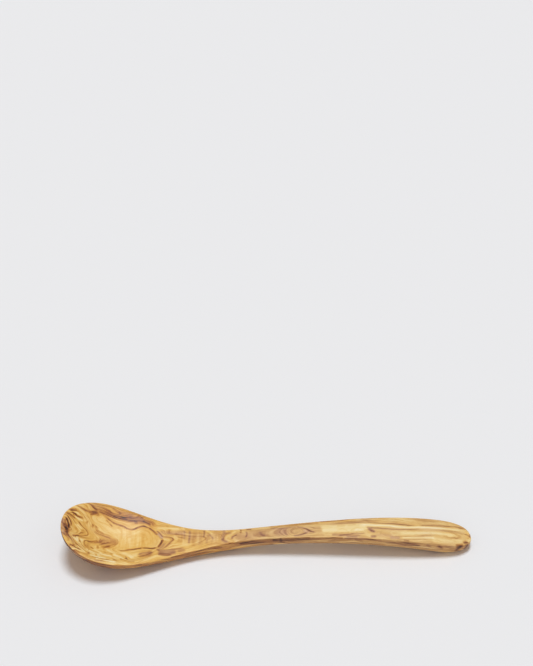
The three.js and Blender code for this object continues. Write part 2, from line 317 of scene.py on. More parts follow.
# The figure of the wood, seen from above. Each grain line has its growth ring (None leaves the rings alone),
# how dark it is, its hue (1 plum, -1 amber), its half-width and the places that it passes, millimetres.
grainLines = {
    # the knot at the tip and the lines that sweep round it
    "knotEdge": (0, 1.0, -0.3, 0.9, [
        (-146.9, 7.2), (-145.9, 5.8), (-145.1, 3.8), (-144.5, 1.5), (-144.4, -1.2)]),
    "knotCore": (None, 0.85, 0.2, 1.0, [
        (-147.4, 5.6), (-147.2, 3), (-146.5, 0.8), (-146, -1.8), (-145.9, -3.8)]),
    "knotSkin": (2.5, 0.66, 0, 0.6, [
        (-146, 9.4), (-144.7, 7.6), (-143.6, 5.8), (-143.2, 3.8), (-143.5, 1.5)]),
    "knotPale": (None, -0.14, 0.2, 0.45, [(-146.2, 8.8), (-145, 6.4), (-144, 3.4)]),
    "tipLoop": (6, 0.6, 0, 0.6, [
        (-139.4, 9.6), (-137.8, 9.2), (-136.8, 8), (-135, 6.8), (-133, 6), (-131.8, 4.5), (-131, 3),
        (-131.7, 1), (-133, -0.2), (-135, -1.6), (-136.5, -3.2), (-138, -4.3), (-139.6, -5.8)]),
    "tipLoopBend": (None, 0.28, 0, 0.7, [(-137.9, 9.2), (-136.8, 8.1), (-136, 7.4)]),
    "tipLoopFoot": (None, 0.45, 0.15, 0.9, [(-137, -3.6), (-138.6, -4.8), (-140, -6), (-141.4, -7.4)]),
    "tipLoopRoot": (7, 0.52, 0, 1.0, [(-146.6, 12), (-144.4, 11.8), (-142.4, 11), (-140.4, 10.7)]),
    "rimStripeLow": (8, 0.56, 0, 0.9, [
        (-144.8, 15.2), (-142, 15), (-140.4, 14.4), (-139, 13.6), (-137, 13.8), (-135, 14.2)]),
    "rimStripeHigh": (9.5, 0.3, 0, 1.1, [(-144, 15.9), (-141.8, 16.7), (-140.6, 17.4), (-139.8, 18.6)]),
    "tipHatchHigh": (None, 0.16, 0, 0.45, [(-138.8, 18), (-136, 17.3), (-133, 16.7), (-130.8, 16)]),
    "tipHatchLow": (None, 0.14, 0, 0.45, [(-138, 15.9), (-135, 15.5), (-132.2, 14.6)]),
    "hookLeft": (None, 0.34, 0, 0.55, [(-133.4, 10.8), (-132.4, 12.3), (-131.3, 13.8)]),
    "hookRight": (None, 0.4, 0, 0.8, [(-129.1, 9.8), (-128.4, 11.4), (-128, 12.6)]),
    # bands on the far wall of the bowl
    "farBand": (12, 0.5, 0.15, 0.8, [
        (-140.4, 21.8), (-138.4, 21.3), (-136, 20.7), (-133.5, 20.3), (-131, 20.5), (-128.5, 21.3),
        (-126.4, 22), (-124.6, 22.3)]),
    "farBandKnee": (None, 0.3, 0, 0.9, [(-129, 21.1), (-127.4, 21.5), (-126, 21.9)]),
    "farBandMiddle": (12, 0.48, 0.1, 1.0, [
        (-124.6, 23.4), (-122, 22.8), (-119, 22.4), (-115.5, 21.5), (-112, 20.9), (-108.4, 20.3),
        (-105, 20.2)]),
    "farBandPlum": (None, 0.28, 0, 0.9, [(-114, 21.4), (-111, 21.5), (-107.6, 21.2), (-104.6, 20.7)]),
    "farBandRight": (12, 0.4, -0.15, 1.2, [
        (-106, 20.5), (-103, 19.8), (-100, 19.5), (-97, 19), (-94, 19.2), (-91, 19), (-88, 17.7),
        (-85, 16.4)]),
    "farBandDark": (None, 0.26, -0.2, 0.8, [(-98.4, 19.2), (-96.4, 18.9)]),
    "farBandKnot": (None, 0.3, -0.1, 0.8, [(-92, 19.2), (-90.6, 18.9)]),
    "highBand": (10, 0.46, 0.2, 0.9, [
        (-134.4, 27), (-131, 26.5), (-129, 25.5), (-127.5, 24.3), (-125.5, 23.7)]),
    "highRim": (8, 0.14, 0.1, 0.9, [
        (-128.6, 26.6), (-125, 26.5), (-121.5, 26.2), (-118.5, 25.3), (-116.5, 24.3), (-114.8, 23.4)]),
    "rimStreak": (6, 0.34, 0, 0.7, [
        (-114.8, 27.2), (-113, 26.3), (-111.4, 25.2), (-109.6, 24.5), (-108, 24.4)]),
    "rimStreakKnot": (None, 0.24, 0.1, 0.8, [(-109.8, 24.6), (-108.4, 24.5)]),
    "farLoopLow": (9.5, 0.34, -0.2, 0.7, [
        (-108.4, 22.1), (-105.5, 21.4), (-102, 21.5), (-99.5, 21.3), (-97, 21.8), (-95.5, 22.8),
        (-94.6, 24.2)]),
    # the closed contour round the pale middle of the bowl
    "contourFar": (17, 0.54, -0.05, 0.65, [
        (-121, 21), (-119, 19.8), (-117, 18.8), (-115, 17.5), (-112, 16.6), (-108, 15.8), (-105.5, 14.8),
        (-103, 13.6), (-100.5, 12.9), (-98.5, 13), (-97, 13.7), (-95, 14.5), (-91.5, 15.1), (-89.4, 14.2),
        (-87, 13)]),
    "contourFork": (None, 0.42, 0, 0.6, [(-119, 18.2), (-116.5, 16.5), (-114.4, 14.2)]),
    "contourDip": (None, 0.34, 0, 0.6, [(-99.4, 12.9), (-97.8, 13.3), (-96.4, 14)]),
    "contourDark": (17, 0.44, 0.3, 0.8, [(-87, 13), (-84.6, 10.6), (-82.6, 7.7), (-81.2, 5.6)]),
    "contourTwin": (15, 0.34, 0.6, 0.6, [
        (-81.6, 9.9), (-80.2, 8.4), (-79.2, 6.9), (-78.2, 5.2), (-77, 3.6)]),
    "contourHeel": (17, 0.82, -0.4, 0.75, [(-77.2, 0.4), (-77.8, -2), (-79, -4.5), (-80.2, -6.9)]),
    "contourNear": (17, 0.62, -0.1, 0.75, [
        (-108.2, -7.6), (-106, -7.4), (-104, -7.2), (-102, -6.3), (-98, -6.4), (-94, -6), (-92, -5.7)]),
    "contourNearRight": (17, 0.56, -0.1, 0.75, [
        (-91.6, -6), (-88, -6.9), (-85.6, -7.6), (-83.6, -7.9), (-81.8, -7.1)]),
    "heelLoop": (14, 0.26, 0.2, 0.8, [
        (-77.2, 3.6), (-74.5, 3.5), (-72, 3.4), (-70.5, 2.5), (-69.1, 1.2), (-69.6, -0.6), (-71, -2.6),
        (-72.6, -4.6), (-74.5, -6.4), (-76.5, -8.2), (-79, -9.2)]),
    "heelLoopInner": (None, 0.2, 0.5, 0.55, [(-75.4, -3.4), (-76.6, -5), (-78, -7), (-79.5, -8.9)]),
    # the tongue of brown wood and the streaks round it
    "tongueRoot": (10, 0.4, -0.1, 0.85, [
        (-131.6, -5), (-129, -4), (-127, -2.6), (-125.6, -1.4), (-124, -0.8)]),
    "tongueRootTwin": (11, 0.08, 0.1, 0.8, [
        (-126.4, -4.4), (-124.2, -1.8), (-122.6, 0.4), (-120.6, 1.5), (-119, 1.8)]),
    "tongueEdge": (14, 0.32, 0.1, 0.5, [
        (-116.4, -6.6), (-114.6, -5), (-113, -3.2), (-111.4, -1.4), (-109.7, 0.6), (-109.8, 3),
        (-111, 4.8)]),
    "middleStreak": (12, 0.3, 0.2, 1.3, [(-127.4, 7.6), (-125, 6.4), (-122, 6), (-119, 5.6), (-115, 4.6)]),
    "middleStreakHigh": (13, 0.22, 0.15, 0.7, [(-125.2, 9.3), (-123, 8.2), (-120.6, 7.5)]),
    # the near wall of the bowl
    "nearArch": (13, 0.38, 0.3, 0.8, [
        (-94, -13.4), (-92.4, -12), (-90.4, -11.8), (-88.4, -12.6), (-86, -12.2), (-84, -11.6)]),
    "nearArchLow": (12, 0.1, 0, 0.8, [
        (-95.4, -18), (-93, -16.6), (-91, -15.9), (-89, -15.2), (-87, -14.2)]),
    "nearSweep": (8, 0.2, 0.1, 0.7, [(-98, -23), (-95, -21.4), (-92, -19.6), (-88, -17.4), (-85, -15.4)]),
    "nearSweepDark": (None, 0.45, 0.15, 0.8, [(-103.4, -18.2), (-102.6, -19.8), (-101.8, -21.4)]),
    "leftRimStreak": (2, 0.5, 0.3, 1.4, [(-143.4, -9.6), (-141.4, -12.6), (-139.8, -15.4), (-137.6, -17)]),
    "leftRimLow": (1.5, 0.36, 0.3, 0.9, [(-143, -17.6), (-141, -19.6), (-138.4, -20.8), (-135, -21.8)]),
    "nearRimLine": (3.5, 0.1, 0.1, 0.7, [
        (-138, -23), (-134, -24.6), (-129, -25.4), (-124, -25), (-119, -24.6), (-113, -24.9)]),
    "nearRimLow": (2.5, 0.06, 0.2, 0.7, [
        (-134, -27), (-129, -28), (-124, -28.6), (-119, -28.2), (-112, -27.4), (-106, -26.4)]),
    "heelTop": (10, 0.3, 0.35, 0.6, [
        (-80.6, -9.6), (-77, -10.4), (-73, -10.2), (-69, -9.6), (-66, -9.3), (-61.4, -8.4)]),
    "heelLow": (6, 0.58, 0.4, 0.7, [(-80, -14.6), (-77.4, -15.5), (-74, -15.6), (-70.4, -14.8)]),
    # the neck, with ripples across the grain
    "neckThread": (6, 0.1, 0, 0.6, [(-84, 15.6), (-79, 14.8), (-74, 14.6), (-68, 14.2), (-63, 13.2)]),
    "neckBandEdge": (9, 0.12, 0.3, 0.7, [(-74, 6.8), (-70, 6.5), (-65, 6.4), (-61, 6)]),
    "rippleFirst": (None, 0.14, 0.4, 0.7, [(-61.2, 9.6), (-60.9, 6), (-61.3, 1)]),
    "rippleSecond": (None, 0.34, 0.55, 0.8, [(-57.2, 9.4), (-57, 5), (-57.5, 0), (-57.8, -4)]),
    "rippleThird": (None, 0.18, 0.1, 0.6, [(-50, 8), (-49.7, 3), (-50.2, -6)]),
    "rippleFourth": (None, 0.42, 0.4, 0.7, [(-46.6, 8.6), (-46.3, 5), (-46.9, 1)]),
    "rippleFifth": (None, 0.13, 0.2, 0.6, [(-44.6, 4), (-44.3, 0), (-44.9, -5)]),
    "neckSwirl": (10, 0.34, 0.5, 0.7, [(-43, 3.8), (-41.4, 1.6), (-40.3, -0.2), (-40.2, -1.6)]),
    "neckFork": (9, 0.22, 0.6, 1.2, [
        (-31.6, 6.8), (-31.9, 3.4), (-32.4, 0.4), (-33, -2.8), (-32.2, -4.4), (-29.2, -6)]),
    "neckForkDark": (None, 0.3, 0.3, 0.8, [(-32.9, -2), (-33.2, -3.8)]),
    "paleFork": (7.5, -0.16, 0, 0.8, [
        (-22.8, 4.6), (-25.2, 2), (-27.8, 0), (-30, -1.3), (-30.6, -2.6), (-29.3, -4.4), (-27, -5.6)]),
    "neckHook": (None, 0.7, 0.3, 0.5, [(-22.4, -0.1), (-23.6, -0.4), (-25, -1)]),
    "neckHookLow": (None, 0.56, 0.5, 0.8, [(-25.2, -1), (-25.9, -2), (-26, -3.2)]),
    "neckFarBar": (None, 0.66, 0, 0.6, [(-19.8, 5), (-19.4, 3), (-19.8, 1.4)]),
    "neckArc": (6.5, 0.56, 0.6, 0.55, [(-15.7, 2.4), (-15.1, 0), (-15.4, -1.8), (-16.2, -3.2)]),
    "neckEye": (7, 0.2, 0.7, 1.0, [(-5.6, 0.8), (-4.9, -1.4), (-3.6, -2.8), (-1.8, -3.4)]),
    # the handle
    "eyeBrow": (None, 0.22, 0.6, 0.7, [(3, 2.9), (8, 2.6), (12.6, 2.2), (15.4, 2.8), (18.5, 3), (21, 3.6)]),
    "eyeCorner": (10, 0.22, 0.6, 0.8, [(12, 1), (12.2, -2.2), (14.2, -4.8)]),
    "eyeTop": (12, 0.48, 0.8, 0.65, [
        (21, 3.7), (24, 2.4), (27.3, 1.2), (29.8, -0.7), (31.9, -2.6), (34.4, -3.3)]),
    "eyeLow": (12, 0.36, 0.8, 0.7, [(19, -5.6), (22, -5.6), (25, -5), (28.4, -3.6)]),
    "amberBorder": (7, 0.36, 0.1, 0.75, [
        (44, 4.4), (50, 4.6), (55, 4.5), (60, 5.1), (66, 5.3), (72, 5.3), (78, 4.9), (86, 4.6), (92, 4.4),
        (98, 3.9), (104, 3.7), (110, 4)]),
    "amberBorderRight": (7, 0.32, 0, 1.0, [
        (112, 4.3), (118, 4.9), (125, 5.5), (132, 6.2), (138, 6.6), (146, 6.6)]),
    "creamStripe": (8.5, -0.4, -0.05, 1.3, [
        (66, 3), (72, 2.8), (80, 2.4), (90, 2), (100, 1.1), (105, 1.3), (110, 2.2), (115, 2.7), (125, 3.3),
        (132, 3.9), (140, 4.1), (147.6, 4.5)]),
    "spineLine": (10.5, 0.34, 0.5, 0.85, [
        (73.6, 0.2), (78, -0.4), (84, -0.7), (90, -1.2), (97, -1.2), (102, -0.6), (107, -0.2), (112, 0.6)]),
    "spineLineRight": (10.5, 0.1, 0.4, 1.0, [
        (110, 0.4), (116, 0.9), (122, 1.1), (130, 1.3), (138, 1.4), (146, 2)]),
    "paleStripe": (13, -0.28, 0, 1.8, [
        (96, -4.6), (105, -4.5), (112, -3.5), (119, -2.8), (126, -2.4), (132, -2.4)]),
    "nearLine": (11.5, 0.2, 0.1, 0.55, [
        (91, -8.6), (97.5, -8), (102.5, -7.2), (106, -7.8), (110, -7.4), (114, -6.5), (117, -5.5),
        (122, -4.3), (126, -4)]),
    "nearPale": (10.5, -0.32, 0, 0.8, [(97, -9.5), (107, -8.6), (115, -7.6), (122, -7.2)]),
    "edgeLine": (9.5, 0.2, 0.2, 0.55, [(95, -11.6), (102.5, -11), (110, -10), (116, -9.3)]),
    "edgeDash": (None, 0.44, 0, 0.55, [(98.6, -11.5), (100.4, -11.7), (102.4, -11.8)]),
    "nearStreak": (10, 0.44, 0.4, 0.65, [(51.6, -7.3), (55, -7), (58, -6.8), (60.5, -6.5), (62, -5.8)]),
    "nearStreakRight": (10.5, 0.36, 0.4, 0.6, [(61.6, -5.9), (65, -5.6), (68, -6.2), (70.6, -5.4)]),
    "handleEdge": (None, 0.3, 0.6, 0.6, [(57, -8.6), (61, -8.8), (65, -9.2)]),
}

# Rings where no line shows
ringAnchors = {
    "tipRim": (1.5, [(-149.6, 6), (-150, 0), (-149.6, -6)]),
    "farRim": (-2, [
        (-126, 29.8), (-119, 30.7), (-105, 29.3), (-90, 24.5), (-75, 18.2), (-60, 12.9), (-40, 8.4)]),
    "nearRim": (1.5, [
        (-143, -20), (-130, -28.5), (-119, -30.7), (-105, -29.3), (-90, -24.5), (-75, -18.2)]),
    "paleMiddle": (21, [(-104, 3), (-96, 4), (-88, 3)]),
    "paleRidge": (15, [(-128, 16.5), (-121, 14), (-114, 10)]),
    "nearMiddle": (9, [(-132, -14), (-124, -15), (-112, -15), (-104, -16)]),
    "neckMiddle": (13, [(-64, 1), (-52, 0), (-40, -0.5)]),
    "neckEdge": (6, [(-60, -12.9), (-40, -8.4), (-15, -6.2)]),
    "farEdge": (3, [(-15, 6.2), (20, 7.2), (60, 9.8), (100, 12.2), (125, 12.9), (140, 10.9)]),
    "nearEdge": (8, [(20, -7.2), (60, -9.8), (100, -12.2), (125, -12.9), (140, -10.9)]),
    "eyeMiddle": (14, [(18, -2), (24, -2.2)]),
    "creamMiddle": (11, [(44, -1.5), (56, -2), (68, -2)]),
    "gripMiddle": (12, [(128, -2), (140, -2.4)]),
}

# Patches of colour between the lines, and a few of painted light and shade on the bowl's walls and the end:
# dark, hue, curl (ripples across the grain), half-width, places
colourAndPaintedLightPatches = {
    "knotLight": (-0.14, 0.3, 0, 0.45, [(-146.3, 4.4), (-145.6, 2.2)]),
    "knotTail": (0.4, -0.6, 0, 1.4, [(-145.5, -3.8), (-144.8, -5.4)]),
    "knotTailPlum": (0.5, 0.2, 0, 1.7, [(-145.5, -7.2), (-144.6, -9.2)]),
    "tipRose": (0.12, 0.8, 0, 0.9, [(-148.7, 5), (-148.7, 0), (-148.3, -5), (-147, -10)]),
    "loopPale": (-0.4, 0, 0, 1.5, [(-139, 5.6), (-137, 4.2)]),
    "loopAmber": (0.14, -0.4, 0, 0.9, [(-139.8, 2.4), (-139.6, 1.2)]),
    "stripePale": (-0.36, 0, 0, 0.8, [(-141, 12.6), (-138.6, 11.6), (-136, 11.9)]),
    "tipPaleLow": (-0.24, 0, 0, 1.3, [(-140.2, -8.6), (-138.6, -9.4)]),
    "tipPaleMiddle": (-0.14, 0, 0, 1.2, [(-137.4, -5.4), (-134.6, -6.8)]),
    "rimOrange": (0.1, -0.5, 0, 1.1, [(-134.4, 24.6), (-133.2, 24.4)]),
    "bandRed": (0.36, 0, 0, 0.9, [(-130.4, 19.6), (-127.4, 19.9), (-124.8, 20.6)]),
    # painted shade on the far inner wall of the bowl, with a little plum; the next patch darkens it a little
    # more and turns it amber
    "farWallPaintedShade": (0.25, 0.1, 0, 3.8, [(-127, 26.4), (-112, 25.4), (-102, 23.2), (-92, 20.4), (-86, 17.6)]),
    "farPaintedShadeAmber": (0.06, -0.55, 0, 4.5, [(-116, 24), (-104, 21.6), (-94, 18.4), (-86, 15)]),
    "farRose": (0.26, -0.1, 0, 1.3, [(-101, 21.9), (-96, 21.2), (-92.6, 21.6)]),
    "farRimTan": (0.1, 0.2, 0, 1.2, [(-118, 29), (-108, 28.4), (-98, 25.8), (-91, 23.2)]),
    "lensSpot": (0.4, -0.2, 0, 0.6, [(-97.6, 17.8), (-96.2, 17.7)]),
    "ridge": (-0.18, 0, 0, 2.4, [(-126, 17.2), (-121, 15.4), (-116, 12.4)]),
    "middleCream": (-0.16, -0.05, 0.2, 2.0, [(-113, 10.9), (-108, 11.6), (-104, 11.4)]),
    "middleCreamRight": (-0.12, 0, 0.2, 2.2, [(-97, 9.9), (-93, 11.1)]),
    "middle": (-0.05, -0.05, 0.55, 7.5, [(-106, 2.4), (-98, 3.4), (-88, 2.5)]),
    "tongue": (0.4, 0.15, 0, 3.3, [(-121, 0), (-117, 0.6), (-113, 1.4)]),
    "tongueLow": (0.32, -0.15, 0, 1.7, [(-120.6, -5.2), (-118.6, -5), (-116.8, -4.4)]),
    "rootRed": (0.12, 0, 0, 0.8, [(-131.5, -4.3), (-130.6, -4.1)]),
    "ridgeSpot": (0.22, 0.1, 0, 0.8, [(-126.2, 11.5), (-124.6, 11.1)]),
    "loopSpot": (0.4, 0, 0, 0.6, [(-136.6, -8.4), (-136.4, -10)]),
    "darkSpot": (0.56, -0.2, 0, 1.0, [(-128, -10.8), (-127.4, -11.2)]),
    "leftSpot": (0.12, 0, 0, 0.9, [(-133, -11.2), (-132.6, -12)]),
    "brownSpot": (0.6, -0.2, 0, 0.8, [(-124, -6.4), (-124, -8.8)]),
    "lowSpot": (0.26, 0, 0, 0.6, [(-129.7, -15), (-129.6, -16.4)]),
    "oliveSpot": (0.16, 0, 0, 0.8, [(-118.8, -11.4), (-118.4, -12.6)]),
    "amberSpot": (0.16, -0.5, 0, 0.9, [(-113.8, -13), (-113.5, -15.2)]),
    "nearSpot": (0.34, 0.15, 0, 0.9, [(-129.1, -20), (-128.8, -22.6)]),
    "nearSpotRight": (0.22, -0.1, 0, 0.8, [(-124, -19), (-123.8, -21)]),
    "nearBrown": (0.38, 0.1, 0, 1.0, [(-111.6, -22), (-110.2, -23.8)]),
    "nearTan": (0.36, 0.1, 0, 0.8, [(-106.6, -20.4), (-106, -21.8)]),
    "sweepRose": (0.2, 0.4, 0, 1.0, [(-100.6, -22.8), (-97.4, -22.6)]),
    # painted light on the near inner wall of the bowl, which is also turned amber
    "nearWallPaintedLight": (-0.09, -0.2, 0, 6.5, [(-132, -17), (-114, -20), (-100, -18)]),
    "nearCream": (-0.22, 0, 0, 2.2, [(-105, -11.6), (-102, -14), (-99, -16)]),
    "nearCreamMiddle": (-0.4, 0, 0, 1.5, [(-111.4, -14.6), (-108, -16.6), (-105.4, -18)]),
    "nearCreamLeft": (-0.38, 0, 0, 1.4, [(-121.6, -15.6), (-118, -16.8), (-114.4, -17)]),
    "nearCreamHigh": (-0.24, 0, 0, 1.0, [(-117, -9.2), (-114.4, -10.6), (-111.6, -12.2)]),
    "nearCreamTip": (-0.24, 0, 0, 1.2, [(-128, -11.6), (-124.6, -12.8), (-121.6, -14)]),
    "nearCreamLow": (-0.22, 0, 0, 1.1, [(-131, -15.6), (-127, -17.6), (-122.6, -18.6)]),
    "rimCream": (-0.56, 0, 0, 0.9, [(-123, -26.6), (-118, -26.8), (-111, -26.2)]),
    "rimCreamLeft": (-0.36, 0, 0, 1.0, [(-127.4, -23.4), (-123, -23), (-118, -23)]),
    "nearAmber": (0.2, -0.3, 0, 0.8, [(-124.6, -18.6), (-124, -20.6)]),
    "nearRed": (0.2, 0.2, 0, 1.0, [(-129.6, -19.4), (-129, -21.6)]),
    "nearDash": (0.14, 0.1, 0, 0.7, [(-121, -20.4), (-117.6, -20.8), (-114.6, -21.4)]),
    "nearDashLeft": (0.26, 0.1, 0, 0.8, [(-135.6, -12.4), (-133.4, -13.8), (-131.8, -15.4)]),
    "nearDashLow": (0.15, 0.15, 0, 0.7, [(-136.8, -18.6), (-134, -20), (-131.6, -20.8)]),
    "rimDashRight": (0.26, 0.1, 0, 0.7, [(-116.6, -24.6), (-112, -24.8), (-108, -24.4)]),
    "rimRose": (0.24, 0.5, 0, 0.8, [(-124, -29), (-121.6, -29.2), (-119.6, -28.8)]),
    "rimTan": (0.14, 0, 0, 1.2, [(-142.6, -15), (-140, -18)]),
    "archBrown": (0.38, 0.3, 0, 2.5, [(-92.6, -13.8), (-89, -13.9), (-86.4, -13)]),
    "archDark": (0.22, 0, 0, 1.2, [(-93, -16.5), (-91, -16.1)]),
    "rimGold": (-0.14, 0, 0, 0.8, [(-96, -24), (-91, -22.2), (-86, -19.4), (-82, -16.6)]),
    "heelLilac": (-0.06, 1.2, 0, 1.0, [(-80.2, 6.4), (-78.8, 4.6), (-77.6, 2.6)]),
    "heelPale": (-0.22, 0, 0, 1.2, [(-76, 1), (-74, 0.4), (-72.6, 0.2)]),
    "heelPlum": (0.4, 0.6, 0, 2.1, [(-78, -12.4), (-74, -12.6), (-69, -12)]),
    "heelPeach": (0.3, 0.3, 0, 1.4, [(-64.6, -11), (-61.6, -10.6)]),
    "heelDark": (0.32, 0.1, 0, 0.8, [(-80.6, -9.4), (-79.6, -10.4)]),
    "neckTone": (0.05, 0.1, 0, 9.0, [(-78, 0), (-60, 0), (-24, 0)]),
    "neckBand": (0.1, 0.4, 0.2, 2.1, [(-77.5, 8.2), (-72, 8), (-62, 7.8)]),
    "neckPale": (-0.18, 0, 0, 1.5, [(-80, 12.2), (-70, 12.2), (-62, 11.6)]),
    "neckPaleLow": (-0.22, 0, 0, 1.2, [(-67.6, 3.6), (-66.4, 1)]),
    "neckFarSpot": (0.18, 0, 0, 0.7, [(-74, 14.4), (-73.2, 14.3)]),
    "neckCurl": (0.08, 0.2, 0.6, 6.5, [(-62, 1.6), (-50, 0.7), (-40, 0.2)]),
    "neckGold": (0.1, 0, 0, 1.0, [(-55, 0), (-54.8, -6)]),
    "swirlGold": (-0.24, -0.1, 0, 0.9, [(-44.4, 8), (-43, 6.4), (-41, 4.4)]),
    "forkGold": (-0.12, -0.1, 0, 0.9, [(-30.6, 5.6), (-30, 4.2)]),
    "forkTan": (0.22, 0.4, 0, 1.4, [(-30, 3), (-27.6, 2.6)]),
    "neckFarDark": (0.36, 0.4, 0, 0.7, [(-15, 4.6), (-12.4, 4.4)]),
    "neckDust": (0.17, 0.4, 0, 4.6, [(-21, -1), (-8, -1), (10, -1)]),
    "handleDust": (0.12, 0.35, 0, 4.2, [(10, -1), (24, -2), (37, -1)]),
    "handleFarAmber": (0.24, -0.25, 0, 1.5, [(3, 5.3), (12, 5.3), (24, 5.7), (36, 6.4)]),
    "eyeLilac": (-0.16, 1, 0, 1.0, [(27, -1.6), (29.4, -3)]),
    "creamHigh": (-0.18, -0.12, 0, 1.5, [(58, 1.8), (66, 2.4), (70.6, 2.6)]),
    "creamMiddle": (-0.24, -0.12, 0, 1.7, [(40.6, 0.2), (48, -0.2), (60, 0), (71, 0)]),
    "creamNear": (-0.34, -0.12, 0, 1.5, [(41, -2), (48, -2.8), (60, -3), (69, -2.6)]),
    "creamFade": (-0.14, 0, 0, 1.2, [(39.6, 2), (46, 2.2), (50, 2.2)]),
    "handlePlum": (0.24, 0.8, 0, 1.1, [(73.6, -0.4), (74.6, -2.4), (77.6, -4)]),
    "handleLilac": (0.14, 0.9, 0, 1.6, [(75.4, -1.6), (76.6, -3.4)]),
    "farAmber": (0.12, 0, 0, 2.0, [(38, 6.4), (50, 7), (70, 7.6), (90, 8.1), (110, 7.8), (132, 9)]),
    "farOrange": (0.1, -0.5, 0, 1.6, [(40, 6.8), (52, 7.6), (64, 8.2)]),
    "nearRose": (0.1, 0.4, 0, 1.4, [(48, -6.4), (58, -8), (66, -7.6)]),
    "nearGoldLeft": (-0.16, 0, 0, 0.8, [(41.6, -6.4), (46, -6.6)]),
    "nearPlum": (0.5, 1, 0, 1.2, [(75.8, -8.8), (77.6, -8.8)]),
    "handleRose": (0.05, 0.4, 0, 1.6, [(80, -7.4), (90, -8)]),
    "edgePlum": (0.08, 0.9, 0, 1.3, [(90, -9.6), (95, -9.4)]),
    "gripPale": (-0.16, 0, 0, 2.4, [(122, -9), (132, -9), (140, -7.6)]),
    # the end turned more amber and, as painted light, a little paler
    "endAmberAndPaintedLight": (-0.04, -0.25, 0, 6.0, [(138, 1), (147, 1)]),
    "endGold": (-0.04, -0.7, 0, 1.1, [(146.6, 3.6), (147.8, 2.4)]),
    "endPlum": (0.46, 0.8, 0, 0.8, [(149.2, 2), (149.4, 0)]),
    "endSpot": (0.62, 0.1, 0, 1.4, [(145.6, -7), (144.4, -8)]),
    "endSpotLow": (0.58, -0.3, 0, 1.0, [(142, -10.2), (140, -10.8), (138, -11.4)]),
}

# Calm places, where the fine lines fade (they thicken below nought): how much, half-width, places
calmPlaces = {
    "middle": (0.35, 9.0, [(-107, 3), (-98, 4), (-88, 3)]),
    "ridge": (0.2, 4.0, [(-127, 16.8), (-120, 14), (-114, 11)]),
    "cream": (0.1, 3.4, [(43, 0.4), (58, 0.4), (68, 0.4)]),
    "grip": (0.2, 11.0, [(84, 0), (110, 0), (134, 0)]),
    "tip": (-0.5, 9.0, [(-141, 10), (-140, 0), (-137, -12)]),
    "end": (-0.35, 9.0, [(138, 0), (148, 0)]),
    "farHandle": (-0.2, 3.0, [(40, 8), (90, 10), (130, 10)]),
    "nearWall": (-0.5, 8.0, [(-136, -20), (-126, -23), (-112, -23), (-98, -20)]),
}

# Streaks on the near side, and painted shade along the rounded edge and over the tip's outer side: dark, hue,
# half-width, then places along the spoon and down from the rim
sideStreaksAndShade = {
    # painted shade over the outer side of the tip
    "tipPaintedShade": (0.3, 0.1, 4.0, [(-149, 3), (-140, 4.4), (-128, 5), (-118, 4.6)]),
    # painted shade: dark lines just below the rounded edge of the bowl and its tip, where the edge turns down
    # away from the light
    "bowlArrisPaintedShade": (0.36, 0, 0.6, [(-147, 0.9), (-140, 1), (-128, 1.1), (-115, 1.1), (-100, 1), (-92, 0.9)]),
    "tipArrisPaintedShade": (0.6, 0, 1.0, [(-150, 0.6), (-146, 0.7), (-140, 0.9)]),
    "bowlLow": (0.12, 0.2, 0.8, [(-112, 3), (-100, 3.2), (-90, 2.8), (-80, 2.4)]),
    # painted shade just below the rounded edge of the neck
    "neckArrisPaintedShade": (0.4, 0.1, 0.7, [(-70, 0.4), (-60, 0.6), (-52, 1.1), (-44, 1.7), (-34, 3.2)]),
    "neckLow": (0.2, 0, 0.6, [(-60, 4), (-50, 4.6), (-40, 5)]),
    # painted shade just below the rounded edge of the handle, turned amber
    "handleArrisPaintedShade": (0.45, -0.3, 0.7, [
        (-28, 0.6), (-20, 1.8), (-11, 1.5), (-4, 1.6), (9, 1.2), (18, 1.2), (30, 0.8)]),
    "handleSecond": (0.5, -0.3, 0.6, [(4, 2), (12, 2.8), (24, 3), (34, 1.8), (47, 0.6), (54, 0.5)]),
    "handleLow": (0.45, -0.3, 0.7, [(-20, 3), (-10, 3.6), (2, 4.6), (12, 5)]),
    "handleKnot": (0.32, 0.2, 0.9, [(9.2, 0.4), (9.4, 2), (9.6, 3.4)]),
    "handleEdge": (0.3, 0.5, 0.7, [(56, 0.6), (64, 1), (72, 0.8), (82, 1.2)]),
    "gripPatch": (0.3, 0.2, 1.0, [(64, 2), (68, 2.8)]),
    "gripSlant": (0.26, 0.2, 0.8, [(84, 1), (92, 3), (100, 4.6)]),
    "gripSlantRight": (0.24, 0.2, 0.8, [(94, 0.8), (102, 2.2), (110, 3.8)]),
    "gripSpot": (0.34, 0.2, 1.0, [(116.4, 2.6), (118, 3.2)]),
    "gripKnot": (0.5, 0.2, 1.2, [(124.6, 2.2), (126.4, 3.4)]),
    "endDark": (0.5, 0.1, 1.3, [(140.6, 1), (139.4, 3), (138, 5)]),
    "endStreak": (0.5, 0.1, 1.0, [(146.6, 1), (145.6, 3), (144, 5)]),
}


def roundedLine(places):  # cuts the corners of a drawn line twice
    line = np.array(places, float)
    for _ in range(2):
        near = 0.75 * line[:-1] + 0.25 * line[1:]
        far = 0.25 * line[:-1] + 0.75 * line[1:]
        line = np.concatenate([line[:1], np.stack([near, far], 1).reshape(-1, 2), line[-1:]])
    return line


def lineDistance(points, line):  # distance to the line, and how far along it the nearest place is
    best = np.full(len(points), np.inf)
    passed = np.zeros(len(points))
    for step, (start, end) in enumerate(zip(line[:-1], line[1:])):
        run = end - start
        share = np.clip((points - start) @ run / (run @ run), 0, 1)
        gap = np.linalg.norm(points - start - share[:, None] * run, axis=1)
        closer = gap < best
        best[closer] = gap[closer]
        passed[closer] = (step + share[closer]) / (len(line) - 1)
    return best, passed


